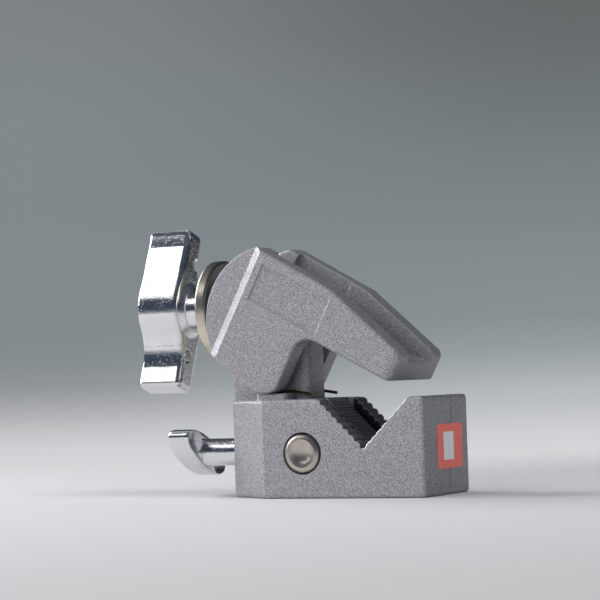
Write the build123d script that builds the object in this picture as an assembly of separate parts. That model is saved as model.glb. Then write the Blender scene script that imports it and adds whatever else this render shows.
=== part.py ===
"""Grip clamp with a toothed V jaw, a screw-driven rocking jaw and a latched stud socket.

Millimetres. X runs from the wing handle (-X) to the jaw tips (+X), Y across the clamp, Z up.
The origin lies on the flat base, on the axis of the hexagonal stud socket.
Each physical piece is one function, and each is written to parts/NAME.step.
"""

import os
from math import cos, radians, sin, sqrt, tan

from build123d import *

# Clearances
running_gap = 0.05   # radial, shaft in bore
heel_gap = 0.3       # moving jaw heel above its pad
push_gap = 0.35      # washer face to the round back of the moving jaw
seat_gap = 0.02      # parts that are stacked face to face

# Fixed jaw
jaw_width = 39.0
left_end_x = -23.3
right_end_x = 57.6
taper_start_x = -5.0
left_end_width = 15.0
body_height = 35.0
body_round = 1.3
pad_height = 2.2
pad_half_width = 16.4
pad_x = (-9.0, 3.0)

# V groove of the fixed jaw, 90 degrees between its slopes
vee_x = 34.25
vee_half_mouth = 18.0
vee_floor_half = 0.9
tooth_count = 8
tooth_root = 0.55
tooth_forms = ((-1, 1.75, 0.55), (1, 4.2, 0.1))  # side, radius, crest above the plain slope
row_width = 7.6
slot_width = 5.2
slot_depth = 4.6
fine_pitch = 1.5
fine_depth = 0.5
band_drop = 1.0

# Tongue and post, between the cheeks of the moving jaw
tongue_width = 14.0
tongue_rise = 8.2
tongue_round = 1.2
post_right_x = 8.0
post_round = 2.8
boss_radius = 8.5

# Clamping bolt and the heel pivot of the moving jaw
pivot_x = -3.75
heel_radius = 14.0
bolt_rise = 17.0
bolt_diameter = 10.0

# Moving jaw, in its own frame: origin at the heel pivot, X along the arm, Z square to it
arm_tilt = 28.0
heel_flat_angle = 13.0
back_centre = (-3.6, 12.0)
back_radius = 26.3
arm_top = 32.0
arm_bottom = 12.6
arm_bend_x = 13.5
arm_bend_round = 9.0
tip_x = 48.2
tip_height = 23.3
tip_round = 4.0
tip_corner = 3.4
toe_round = 1.4
leg_right_x = 9.9
leg_round = 6.2
leg_foot_round = 4.5
crown_rise = 0.8
crown_round = 1.6
rear_rise = 2.2
rear_round = 2.0
leg_inner_half = 11.3
channel_half = 10.4
channel_step_x = 7.2
back_web_x = -15.6
back_slot_half = 7.6
slot_round = 0.9
rear_step_x = -16.8
rear_step = 2.0
rear_step_run = 3.4
web_start_x = 20.6
floor_left = 16.8
floor_mid = (35.0, 17.6)
floor_tip = 20.2
cheek_round = 1.3
panel = (-14.3, 15.3, 14.5, 28.8)
panel_depth = 0.8

# Stud socket, latch and locking screw
stud_flats = 16.0
socket_gap = 0.05
socket_depth = 24.0
latch_x = 10.5
latch_z = 15.9
button_diameter = 14.2
button_thick = 4.6
button_proud = 0.5
button_hole = 15.0
dish_radius = 13.0
dish_depth = 1.0
latch_travel = 5.0
stem_diameter = 8.0
spring_room = 10.0
bore_wall = 2.5
land_y = (-0.4, 4.6)
notch_depth = 2.6
stop_pin_diameter = 3.0
stop_pin_offset = 4.0
stop_pin_top = 22.0
latch_wire = 0.8
latch_coils = 5
lock_z = 16.2
lock_diameter = 10.0
lock_head_x = (-47.75, -38.25)
lock_head_half = (15.2, 5.7)
lock_head_turn = -28.0
lock_hollow_radius = 10.6
pad_front_x = -7.6
pad_thick = 2.4
pad_diameter = 8.4
pad_stem_diameter = 4.0

# Wing handle, pressure washer and rings on the bolt
washer_diameter = 35.6
washer_thick = 4.4
wing_half_length = 30.7
wing_end_drop = 1.6
wing_depth = 17.0
wing_turn = -10.0
wing_round = 2.4
wing_back_round = 1.0
wing_front_round = 2.1
wing_hollow_diameter = 5.0
wing_hollow_depth = 2.4
barrel_diameter = 16.0
barrel_length = 11.3
collar_diameter = 19.8
collar_length = 2.2
ring_bore = 8.4
retainer_diameter = 13.6
retainer_thick = 1.0
stop_ring_diameter = 12.0
stop_ring_thick = 1.0
stop_ring_x = 15.0
grub_diameter = 4.0
grub_x = -38.0

# Jaw spring, one wire with a coil on each side of the post
wire = 1.1
coil_radius = 4.2
coil_turns = 1.889
coil_pitch = 1.15
coil_inner_y = 8.4
leg_tip_x = 10.3
leg_tip_drop = 0.5
coil_corners = 8
bend_radius = 1.4

# Label on the right end face
label_centre = (2.7, 17.1)
label_size = (21.4, 15.6)
label_thick = 0.2

# Places that follow from the sizes above
half_width = jaw_width / 2
pad_top = body_height + pad_height
pivot_z = pad_top + heel_gap + heel_radius
bolt_axis_z = pivot_z + bolt_rise
tongue_left_height = body_height + tongue_rise
row_inner_y = half_width - row_width
band_half = row_inner_y - slot_width
vee_floor_z = body_height - vee_half_mouth + vee_floor_half
back_left_x = (pivot_x + (back_centre[0] * cos(radians(arm_tilt)))
               + back_centre[1] * sin(radians(arm_tilt)) - back_radius)
washer_front_x = back_left_x - push_gap
washer_back_x = washer_front_x - washer_thick
wing_front_x = washer_back_x - seat_gap - barrel_length
wing_back_x = wing_front_x - wing_depth
bolt_start_x = wing_back_x + 3.0
bolt_end_x = stop_ring_x + stop_ring_thick + 0.5
grub_y = (bolt_diameter / 2 - 0.6, barrel_diameter / 2 - 0.4)
button_back_y = -half_width - button_proud + button_thick
counterbore_y = button_back_y + latch_travel + 0.3
bore_end_y = half_width - bore_wall
stem_end_y = bore_end_y - spring_room
coil_outer_y = coil_inner_y + coil_pitch * coil_turns
arm_place = Pos(pivot_x, 0, pivot_z) * Rot(0, arm_tilt, 0)
turn_place = Pos(0, 0, bolt_axis_z) * Rot(wing_turn, 0, 0)


def slab(face, y_low, y_high):
    """Extrude a face drawn in XZ coordinates between two Y values."""
    return Pos(0, y_high, 0) * extrude(Plane.XZ * face, amount=y_high - y_low)


def plank(face, z_low, z_high):
    """Extrude a face drawn in XY coordinates between two Z values."""
    return Pos(0, 0, z_low) * extrude(face, amount=z_high - z_low)


def rod(radius, x_low, x_high, z, y=0.0):
    """Round bar along X."""
    return Pos((x_low + x_high) / 2, y, z) * Rot(0, 90, 0) * Cylinder(radius, x_high - x_low)


def cross_rod(radius, x, z, y_low, y_high):
    """Round bar along Y."""
    return Pos(x, (y_low + y_high) / 2, z) * Rot(90, 0, 0) * Cylinder(radius, y_high - y_low)


def block(x_low, x_high, y_low, y_high, z_low, z_high):
    """Box between two corners."""
    size = (x_high - x_low, y_high - y_low, z_high - z_low)
    return Pos((x_low + x_high) / 2, (y_low + y_high) / 2, (z_low + z_high) / 2) * Box(*size)


def polygon(*points):
    """Face from a closed run of corners."""
    return make_face(Polyline(*points, close=True))


def round_corners(face, rounds):
    """Round the corners of a face that lie nearest to the given points."""
    for (x, y), radius in rounds:
        corner = face.vertices().sort_by_distance((x, y, 0))[0]
        face = fillet(corner, radius)
    return face


def plain_vee():
    """Opening of the V groove in XZ, without teeth."""
    top = body_height + 6
    spread = top - vee_floor_z + vee_floor_half
    return polygon((vee_x - spread, top), (vee_x - vee_floor_half, vee_floor_z),
                   (vee_x + vee_floor_half, vee_floor_z), (vee_x + spread, top))


def deeper_vee(depth):
    """The plain opening, grown by a depth square to its slopes."""
    return offset(plain_vee(), depth, kind=Kind.INTERSECTION)


def toothed_vee():
    """Opening of the V groove with half-round teeth on both slopes."""
    face = deeper_vee(tooth_root)
    run = (vee_half_mouth - vee_floor_half) / tooth_count
    for side, radius, crest in tooth_forms:
        sink = (radius - crest) / sqrt(2)
        for i in range(tooth_count):
            along = (i + 0.5) * run
            x = vee_x + side * (vee_floor_half + along + sink)
            face -= Pos(x, vee_floor_z + along - sink) * Circle(radius)
    return face


def fine_ribs():
    """Square bars that cut fine saw teeth into both slopes of the central band."""
    count = int((vee_half_mouth - vee_floor_half) * sqrt(2) / fine_pitch)
    sink = band_drop / sqrt(2)
    edge = fine_depth * 1.5
    bars = []
    for side in (-1, 1):
        for i in range(count):
            along = (i + 0.7) * fine_pitch / sqrt(2)
            x = vee_x + side * (vee_floor_half + along + sink)
            place = Pos(x, 0, vee_floor_z + along - sink) * Rot(0, 45, 0)
            bars.append(place * Box(edge, 2 * band_half + 1, edge))
    return bars


def post():
    """Tongue and post: a plate that narrows upwards to the round boss of the clamping bolt."""
    boss_x = post_right_x - boss_radius
    side = sqrt(0.5) * boss_radius
    low = body_height - 2
    face = polygon((left_end_x + 0.1, low), (left_end_x + 0.1, tongue_left_height),
                   (left_end_x + 7.3, tongue_left_height), (boss_x - side, bolt_axis_z - side * 0.9),
                   (boss_x, bolt_axis_z), (post_right_x, bolt_axis_z), (post_right_x, low))
    face += Pos(boss_x, bolt_axis_z) * Circle(boss_radius)
    face = round_corners(face, [((left_end_x, tongue_left_height), 1.2)])
    plate = slab(face, -tongue_width / 2, tongue_width / 2)
    uprights = plate.edges().filter_by(Axis.Z).group_by(Axis.X)
    plate = fillet(uprights[-1], post_round)
    return fillet(plate.edges().filter_by(Axis.Z).group_by(Axis.X)[0], tongue_round)


def fixed_jaw_blank():
    """Base block with its tapered left end, the pad under the heel, the tongue and the post."""
    half_end = left_end_width / 2
    plan = polygon((left_end_x, -half_end), (taper_start_x, -half_width), (right_end_x, -half_width),
                   (right_end_x, half_width), (taper_start_x, half_width), (left_end_x, half_end))
    body = plank(plan, 0, body_height)
    body = fillet(body.edges(), body_round)
    pad = block(*pad_x, -pad_half_width, pad_half_width, body_height - 2, pad_top)
    pad = fillet(pad.edges().filter_by(Axis.Z), 1.5)
    pad = fillet(pad.faces().sort_by(Axis.Z)[-1].edges(), 0.5)
    return body + pad + post()


def fixed_jaw():
    """Lower casting: V groove, stud socket, latch bore, locking bore and bolt thread."""
    jaw = fixed_jaw_blank()
    pocket = deeper_vee(slot_depth) & Pos(vee_x, 0) * Rectangle(2 * vee_half_mouth + 4.5, 200)
    for side in (-1, 1):
        jaw -= slab(toothed_vee(), *sorted((side * row_inner_y, side * (half_width + 1))))
        jaw -= slab(pocket, *sorted((side * band_half, side * row_inner_y)))
    jaw -= slab(deeper_vee(band_drop), -band_half, band_half)
    for bar in fine_ribs():
        jaw -= bar
    jaw -= plank(stud_hexagon(), 0, socket_depth)
    jaw -= rod(lock_diameter / 2 + running_gap, left_end_x - 1, 0, lock_z)
    boss_left_x = post_right_x - 2 * boss_radius
    jaw -= rod(bolt_diameter / 2 + running_gap, boss_left_x - 6, post_right_x + 1, bolt_axis_z)
    jaw -= cross_rod(button_hole / 2, latch_x, latch_z, -half_width - 1, counterbore_y)
    jaw -= cross_rod(stem_diameter / 2 + running_gap, latch_x, latch_z, counterbore_y - 1, bore_end_y)
    jaw -= Pos(latch_x + stop_pin_offset, 0, stop_pin_top / 2) * Cylinder(stop_pin_diameter / 2, stop_pin_top)
    return jaw


def stud_hexagon():
    """Hexagonal socket outline, two of its flats square to X."""
    apothem = stud_flats / 2 + socket_gap
    return RegularPolygon(apothem, 6, major_radius=False, rotation=30)


def moving_jaw_outline():
    """Side outline of the moving jaw in its own frame."""
    cx, cz = back_centre
    turn = radians(heel_flat_angle)
    crown_z = arm_top + crown_rise
    top_left = (cx - sqrt(back_radius ** 2 - (crown_z - cz) ** 2), crown_z)
    flat_start = (-heel_radius * sin(turn), -heel_radius * cos(turn))
    flat_end_x = rear_step_x - rear_step_run
    flat_end = (flat_end_x, flat_start[1] + (flat_start[0] - flat_end_x) * tan(turn))
    low_z = flat_end[1] + rear_rise
    low_left = (cx - sqrt(back_radius ** 2 - (low_z - cz) ** 2), low_z)
    heel_right = (leg_right_x, -sqrt(heel_radius ** 2 - leg_right_x ** 2))
    upper = Polyline(top_left, (arm_bend_x, arm_top), (tip_x, tip_height), (tip_x, arm_bottom),
                     (leg_right_x, arm_bottom), heel_right)
    heel = ThreePointArc(heel_right, (0, -heel_radius), flat_start)
    rear = Polyline(flat_start, flat_end, low_left)
    back = ThreePointArc(low_left, (cx - back_radius, cz), top_left)
    face = make_face(Wire([*upper.edges(), heel, *rear.edges(), back]))
    return round_corners(face, [
        ((arm_bend_x, arm_top), arm_bend_round), ((tip_x, tip_height), tip_round),
        ((tip_x, arm_bottom), toe_round), ((leg_right_x, arm_bottom), leg_round),
        (heel_right, leg_foot_round), (top_left, crown_round), (flat_end, rear_round)])


def is_upright(edge):
    """Whether an edge is a straight line along Z."""
    return edge.geom_type == GeomType.LINE and abs((edge % 0).Z) > 0.99


def moving_jaw():
    """Upper casting: two cheeks with a slotted round back, and an arm that is an open channel."""
    reach = 60
    plan = round_corners(polygon((-reach, -half_width), (tip_x, -half_width), (tip_x, half_width),
                                 (-reach, half_width)),
                         [((tip_x, side * half_width), tip_corner) for side in (-1, 1)])
    jaw = slab(moving_jaw_outline(), -half_width, half_width) & plank(plan, -reach, reach)
    sides = [edge for edge in jaw.edges()
             if abs(edge.center().Y) > half_width - tip_corner and not is_upright(edge)]
    jaw = fillet(sides, cheek_round)
    for side in (-1, 1):
        outer = side * (half_width - rear_step)
        beyond = side * (half_width + 5)
        step = polygon((rear_step_x, side * (half_width + 0.01)), (rear_step_x - rear_step_run, outer),
                       (-reach, outer), (-reach, beyond), (rear_step_x, beyond))
        jaw -= plank(step, -reach, reach)
    jaw -= block(-reach, back_web_x + 1, -back_slot_half, back_slot_half, -reach, reach)
    rims = [edge for edge in jaw.edges().filter_by(GeomType.CIRCLE)
            if abs(edge.radius - back_radius) < 0.01 and abs(abs(edge.center().Y) - back_slot_half) < 0.01]
    jaw = fillet(rims, slot_round)
    floor = [(channel_step_x, floor_left), (web_start_x, floor_left), floor_mid, (tip_x + 1, floor_tip),
             (tip_x + 1, reach), (channel_step_x, reach)]
    jaw -= slab(polygon(*floor), -channel_half, channel_half)
    jaw -= block(back_web_x, web_start_x, -channel_half, channel_half, -reach, reach)
    jaw -= block(back_web_x, channel_step_x, -leg_inner_half, leg_inner_half, -reach, reach)
    jaw -= block(back_web_x, web_start_x, -leg_inner_half, leg_inner_half, -reach, arm_bottom + 1.5)
    x_low, x_high, z_low, z_high = panel
    jaw -= block(x_low, x_high, -half_width - 1, -half_width + panel_depth, z_low, z_high)
    return arm_place * jaw


def wing_outline():
    """End view of the handle: a hub with two S-curved wings, the same after half a turn."""
    lead = [(4.65, 25.8), (5.7, 21.5), (6.7, 17.6), (8.1, 11.5), (10.1, 5.4), (10.6, 0.0), (9.5, -4.4),
            (7.1, -8.2), (4.8, -13.6), (4.25, -18.0), (4.75, -22.0)]
    end, heel = wing_half_length, wing_half_length - wing_end_drop
    corners = [(-4.5, end), (-5.8, -heel), (4.5, -end), (5.8, heel)]
    near = Spline([corners[0]] + [(-y, z) for y, z in lead] + [corners[1]])
    far = Spline([corners[2]] + [(y, -z) for y, z in lead] + [corners[3]])
    face = make_face(Wire([near, Line(corners[1], corners[2]), far, Line(corners[3], corners[0])]))
    return round_corners(face, [(corner, wing_round) for corner in corners])


def wing_handle():
    """Die-cast handle: wings, collar and barrel, bored for the bolt and the grub screw."""
    wing = extrude(Plane.YZ * wing_outline(), amount=wing_depth)
    wing = fillet(wing.faces().filter_by(Axis.X).sort_by(Axis.X)[0].edges(), wing_back_round)
    wing = fillet(wing.faces().filter_by(Axis.X).sort_by(Axis.X)[-1].edges(), wing_front_round)
    wing = Pos(wing_back_x, 0, 0) * wing
    for y, z in ((2.4, 17.6), (-0.6, -17.0)):
        wing -= rod(wing_hollow_diameter / 2, wing_front_x - wing_hollow_depth, wing_front_x + 1, z, y)
    collar = Pos(wing_front_x + collar_length / 2, 0, bolt_axis_z) * Rot(0, 90, 0) * Cone(
        collar_diameter / 2, barrel_diameter / 2 + 0.3, collar_length)
    barrel = rod(barrel_diameter / 2, wing_front_x - 1, washer_back_x - seat_gap, bolt_axis_z)
    barrel = chamfer(barrel.edges().group_by(Axis.X)[-1], 0.6)
    handle = turn_place * wing + collar + barrel
    handle -= rod(bolt_diameter / 2, bolt_start_x, wing_front_x + 30, bolt_axis_z)
    return handle - cross_rod(grub_diameter / 2, grub_x, bolt_axis_z, 0, barrel_diameter)


def clamp_bolt():
    """Steel screw of the handle, from inside the hub through the post."""
    bolt = rod(bolt_diameter / 2, bolt_start_x, bolt_end_x, bolt_axis_z)
    bolt = chamfer(bolt.edges().group_by(Axis.X)[-1], 0.4)
    bolt -= cross_rod(grub_diameter / 2, grub_x, bolt_axis_z, grub_y[0], bolt_diameter)
    for low, thick in ((washer_front_x + seat_gap, retainer_thick), (stop_ring_x, stop_ring_thick)):
        bolt -= collar_ring(bolt_diameter, low, thick)
    return bolt


def collar_ring(radius, low, thick):
    """Closed ring round the bolt's axis, with the bore of the retaining rings."""
    return rod(radius, low, low + thick, bolt_axis_z) - rod(ring_bore / 2, low, low + thick, bolt_axis_z)


def open_ring(diameter, low, thick):
    """Open retaining ring in a groove of the bolt."""
    gap = block(low - 1, low + thick + 1, -2.2, 2.2, bolt_axis_z - 10, bolt_axis_z - 1)
    return collar_ring(diameter / 2, low, thick) - gap


def washer_retaining_ring():
    """Ring that keeps the pressure washer against the handle."""
    return open_ring(retainer_diameter, washer_front_x + seat_gap, retainer_thick)


def bolt_stop_ring():
    """Ring at the end of the bolt, which stops it at the post when the jaw is wide open."""
    return open_ring(stop_ring_diameter, stop_ring_x, stop_ring_thick)


def handle_grub_screw():
    """Set screw that holds the handle on the bolt, with a hexagonal drive."""
    low, high = grub_y
    body = cross_rod(grub_diameter / 2, grub_x, bolt_axis_z, low, high)
    drive = extrude(Plane.XZ * RegularPolygon(1.0, 6, major_radius=False), amount=-1.6)
    return body - Pos(grub_x, high - 1.5, bolt_axis_z) * drive


def pressure_washer():
    """Thick nickel washer that pushes on the round back of the moving jaw."""
    body = rod(washer_diameter / 2, washer_back_x, washer_front_x, bolt_axis_z)
    body = fillet(body.edges(), 0.9)
    return body - rod(bolt_diameter / 2 + running_gap, washer_back_x - 1, washer_front_x + 1, bolt_axis_z)


def latch_button():
    """Dished push button of the latch."""
    front = -half_width - button_proud
    cap = cross_rod(button_diameter / 2, latch_x, latch_z, front, button_back_y)
    cap = fillet(cap.edges().group_by(Axis.Y)[0], 1.2)
    return cap - Pos(latch_x, front - dish_radius + dish_depth, latch_z) * Sphere(dish_radius)


def latch_stem():
    """Cross rod of the latch: its full round locks the stud, its notch lets it pass."""
    stem = cross_rod(stem_diameter / 2, latch_x, latch_z, button_back_y, stem_end_y)
    stem = chamfer(stem.edges().group_by(Axis.Y)[-1], 0.5)
    left = latch_x - stem_diameter / 2
    stem -= block(left - 1, left + notch_depth, land_y[1] - 2 * latch_travel - 4.8, land_y[0], 0, 40)
    right = latch_x + stop_pin_offset - stop_pin_diameter / 2 - 0.1
    half_pin = stop_pin_diameter / 2 + 0.05
    return stem - block(right, right + 9, -half_pin - latch_travel, half_pin, 0, 40)


def latch_spring():
    """Coil spring behind the stem."""
    length = bore_end_y - stem_end_y - latch_wire - 2 * seat_gap
    radius = stem_diameter / 2 - latch_wire / 2 - 0.3
    path = Helix(pitch=length / latch_coils, height=length, radius=radius)
    profile = Plane(origin=path @ 0, z_dir=path % 0) * Circle(latch_wire / 2)
    coil = sweep(profile, path=path, is_frenet=True)
    return Pos(latch_x, stem_end_y + latch_wire / 2 + seat_gap, latch_z) * Rot(-90, 0, 0) * coil


def latch_stop_pin():
    """Pin pressed in from the base, which keeps the button from leaving its hole."""
    low = 0.4
    pin = Pos(latch_x + stop_pin_offset, 0, (low + stop_pin_top) / 2) * Cylinder(
        stop_pin_diameter / 2, stop_pin_top - low)
    return chamfer(pin.edges().group_by(Axis.Z)[0], 0.3)


def lock_screw_head():
    """Oval wing head of the locking screw, hollowed a little towards the shank."""
    low, high = lock_head_x
    outline = Rot(0, 0, lock_head_turn) * Ellipse(*lock_head_half)
    head = Pos(low, 0, lock_z) * extrude(Plane.YZ * outline, amount=high - low)
    head = fillet(head.edges(), 1.4)
    turn = radians(lock_head_turn)
    for reach in (-lock_hollow_radius, lock_hollow_radius):
        centre = (high + lock_hollow_radius - 1.3, reach * cos(turn), lock_z + reach * sin(turn))
        head -= Pos(*centre) * Sphere(lock_hollow_radius)
    head += rod(lock_diameter / 2 + 1.0, low + 2, high - 1.2, lock_z)
    return head - rod(lock_diameter / 2, low + 2.5, high + 5, lock_z)


def lock_screw_stud():
    """Screw of the lock, from inside its head to the pressure pad."""
    end = pad_front_x - pad_thick - seat_gap
    stud = rod(lock_diameter / 2, lock_head_x[0] + 2.5, end, lock_z)
    stud = chamfer(stud.edges().group_by(Axis.X)[-1], 1.0)
    return stud - rod(pad_stem_diameter / 2 + running_gap, end - 4.2, end + 1, lock_z)


def lock_screw_pad():
    """Swivelling pad that presses on the stud."""
    back = pad_front_x - pad_thick
    pad = rod(pad_diameter / 2, back, pad_front_x, lock_z)
    pad = chamfer(pad.edges().group_by(Axis.X)[-1], 0.6)
    return pad + rod(pad_stem_diameter / 2, back - 4.0, pad_front_x - 1, lock_z)


def coil_corner_points():
    """Corners of the many-sided run round the -Y coil, from its lower leg to the hoop."""
    count = round(coil_turns * coil_corners)
    step = 360 * coil_turns / count
    corner_radius = coil_radius / cos(radians(step / 2))
    corners = []
    for i in range(count):
        angle = radians(180 - step * (i + 0.5))
        y = coil_inner_y + (coil_outer_y - coil_inner_y) * (1 - (i + 0.5) / count)
        corners.append((pivot_x + corner_radius * cos(angle), -y, pivot_z + corner_radius * sin(angle)))
    return corners


def hoop_corner():
    """Corner of the hoop behind the post, where it lies against the back web of the moving jaw."""
    angle = radians(180 - 360 * coil_turns)
    lean = angle + radians(arm_tilt)
    reach = (back_web_x + wire / 2 + 0.1 - coil_radius * cos(lean)) / sin(lean)
    return (pivot_x + coil_radius * cos(angle) + reach * sin(angle), -coil_inner_y,
            pivot_z + coil_radius * sin(angle) - reach * cos(angle))


def jaw_spring():
    """Double torsion spring from one wire: a leg and a coil each side of the post, a hoop behind it."""
    rest_z = pad_top + wire / 2 + seat_gap
    coil = coil_corner_points()
    side = [(leg_tip_x, -coil_outer_y, pad_top - leg_tip_drop), (pad_x[1] + 0.6, -coil_outer_y, rest_z),
            (pivot_x - coil_radius, -coil_outer_y, rest_z), *coil, hoop_corner()]
    rounds = [bend_radius, bend_radius, *[coil_radius * 0.97 for _ in coil], bend_radius]
    path = FilletPolyline(*side, *[(x, -y, z) for x, y, z in reversed(side)],
                          radius=rounds + rounds[::-1])
    profile = Plane(origin=path @ 0, z_dir=path % 0) * Circle(wire / 2)
    return sweep(profile, path=path)


def end_label():
    """Thin printed label on the right end face."""
    outline = RectangleRounded(*label_size, radius=1.2)
    plate = extrude(Plane.YZ * outline, amount=label_thick)
    return Pos(right_end_x, label_centre[0], label_centre[1]) * plate


PIECES = (fixed_jaw, moving_jaw, wing_handle, clamp_bolt, handle_grub_screw, washer_retaining_ring,
          bolt_stop_ring, pressure_washer, latch_button, latch_stem, latch_spring, latch_stop_pin,
          lock_screw_head, lock_screw_stud, lock_screw_pad, jaw_spring, end_label)

os.makedirs("parts", exist_ok=True)
for piece in PIECES:
    export_step(piece(), f"parts/{piece.__name__}.step")
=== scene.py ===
"""Looks of the grip clamp: cast jaws, polished handle, latch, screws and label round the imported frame."""
from __future__ import annotations

import logging
import math
from dataclasses import dataclass
from enum import Enum

import bpy
import numpy as np
from mathutils import Matrix, Vector


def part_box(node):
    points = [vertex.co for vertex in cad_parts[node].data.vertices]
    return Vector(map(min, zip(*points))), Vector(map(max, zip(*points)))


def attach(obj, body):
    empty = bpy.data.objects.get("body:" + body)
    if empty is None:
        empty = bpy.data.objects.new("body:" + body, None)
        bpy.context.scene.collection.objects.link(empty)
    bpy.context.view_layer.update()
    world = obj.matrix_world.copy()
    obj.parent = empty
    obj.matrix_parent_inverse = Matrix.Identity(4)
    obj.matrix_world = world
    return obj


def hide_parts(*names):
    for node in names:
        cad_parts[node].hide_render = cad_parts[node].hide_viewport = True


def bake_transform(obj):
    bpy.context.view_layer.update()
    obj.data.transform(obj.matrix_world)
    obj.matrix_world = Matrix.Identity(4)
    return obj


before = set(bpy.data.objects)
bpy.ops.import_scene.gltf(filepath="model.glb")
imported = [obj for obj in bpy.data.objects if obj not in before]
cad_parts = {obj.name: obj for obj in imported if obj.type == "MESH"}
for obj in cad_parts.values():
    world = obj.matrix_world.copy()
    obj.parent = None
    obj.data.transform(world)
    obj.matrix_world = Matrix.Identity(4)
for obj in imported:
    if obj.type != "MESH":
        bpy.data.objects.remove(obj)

Colour = tuple[float, float, float]
Triple = tuple[float, float, float]
Range = tuple[float, float]
Band = tuple[Range, Range]
Ramp = tuple[tuple[float, int, int, int], ...]

MM = 0.001
FULL_TURN = 2 * math.pi
BEVEL_SAMPLES = 8
MIX_COLOUR_A, MIX_COLOUR_B, MIX_RESULT = 6, 7, 2
SHARP_ANGLE = 40.0
LOG = logging.getLogger("clamp")


def tone(*display: int) -> Colour:
    """Turn a display colour into the linear values that a shader takes.

    Args:
        *display: Red, green and blue from 0 to 255.

    Returns:
        The colour in linear light.
    """
    parts = np.array(display) / 255.0
    linear = np.where(parts <= 0.04045, parts / 12.92, ((parts + 0.055) / 1.055) ** 2.4)
    return tuple(float(part) for part in linear)


def shaded(colour: Colour, factor: float) -> Colour:
    """Colour made darker or lighter, with no part above 1."""
    return tuple(min(1.0, part * factor) for part in colour)


# Shader nodes -------------------------


@dataclass(frozen=True)
class Noise:
    """Cloudy noise: width of one blob in millimetres, number of finer layers and their weight."""

    size: float
    detail: float = 2.0
    rough: float = 0.5


class Value:
    """One socket of numbers, on which Python's operators add Math nodes."""

    def __init__(self, graph: Graph, socket: bpy.types.NodeSocket) -> None:
        """Hold a socket and the graph that it belongs to."""
        self.graph = graph
        self.socket = socket

    def maths(self, operation: str, *operands: Value | float) -> Value:
        """Add one Math node.

        Args:
            operation: Name of the Math operation.
            *operands: Its inputs in order.

        Returns:
            The node's result.
        """
        node = self.graph.add("ShaderNodeMath", {"operation": operation}, dict(enumerate(operands)))
        return Value(self.graph, node.outputs[0])

    def __add__(self, other: Value | float) -> Value:
        """Sum."""
        return self.maths("ADD", self, other)

    __radd__ = __add__

    def __sub__(self, other: Value | float) -> Value:
        """Difference."""
        return self.maths("SUBTRACT", self, other)

    def __rsub__(self, other: Value | float) -> Value:
        """Difference with the socket second."""
        return self.maths("SUBTRACT", other, self)

    def __mul__(self, other: Value | float) -> Value:
        """Product."""
        return self.maths("MULTIPLY", self, other)

    def __truediv__(self, other: Value | float) -> Value:
        """Quotient."""
        return self.maths("DIVIDE", self, other)

    def __rtruediv__(self, other: Value | float) -> Value:
        """Quotient with the socket below."""
        return self.maths("DIVIDE", other, self)

    def __pow__(self, other: Value | float) -> Value:
        """Power."""
        return self.maths("POWER", self, other)

    def __abs__(self) -> Value:
        """Size without its sign."""
        return self.maths("ABSOLUTE", self)

    def wave(self) -> Value:
        """Sine of the value."""
        return self.maths("SINE", self)

    def least(self, other: Value | float) -> Value:
        """Smaller of two values."""
        return self.maths("MINIMUM", self, other)

    def most(self, other: Value | float) -> Value:
        """Larger of two values."""
        return self.maths("MAXIMUM", self, other)

    def step(self, low: float, high: float) -> Value:
        """Smooth step.

        Args:
            low: Value at which the result is 0.
            high: Value at which the result is 1; below low, the step falls instead.

        Returns:
            A value from 0 to 1.
        """
        node = self.graph.add("ShaderNodeMapRange", {"interpolation_type": "SMOOTHSTEP"},
                              {"Value": self, "From Min": low, "From Max": high})
        return Value(self.graph, node.outputs["Result"])

    def reach(self, limits: Range) -> Value:
        """Smooth step of a length in metres, over a range in millimetres."""
        return self.step(limits[0] * MM, limits[1] * MM)

    def band(self, limits: Band) -> Value:
        """Mask of a length in metres, which rises over one range in millimetres and falls over another."""
        return self.reach(limits[0]) * (1 - self.reach(limits[1]))


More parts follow.
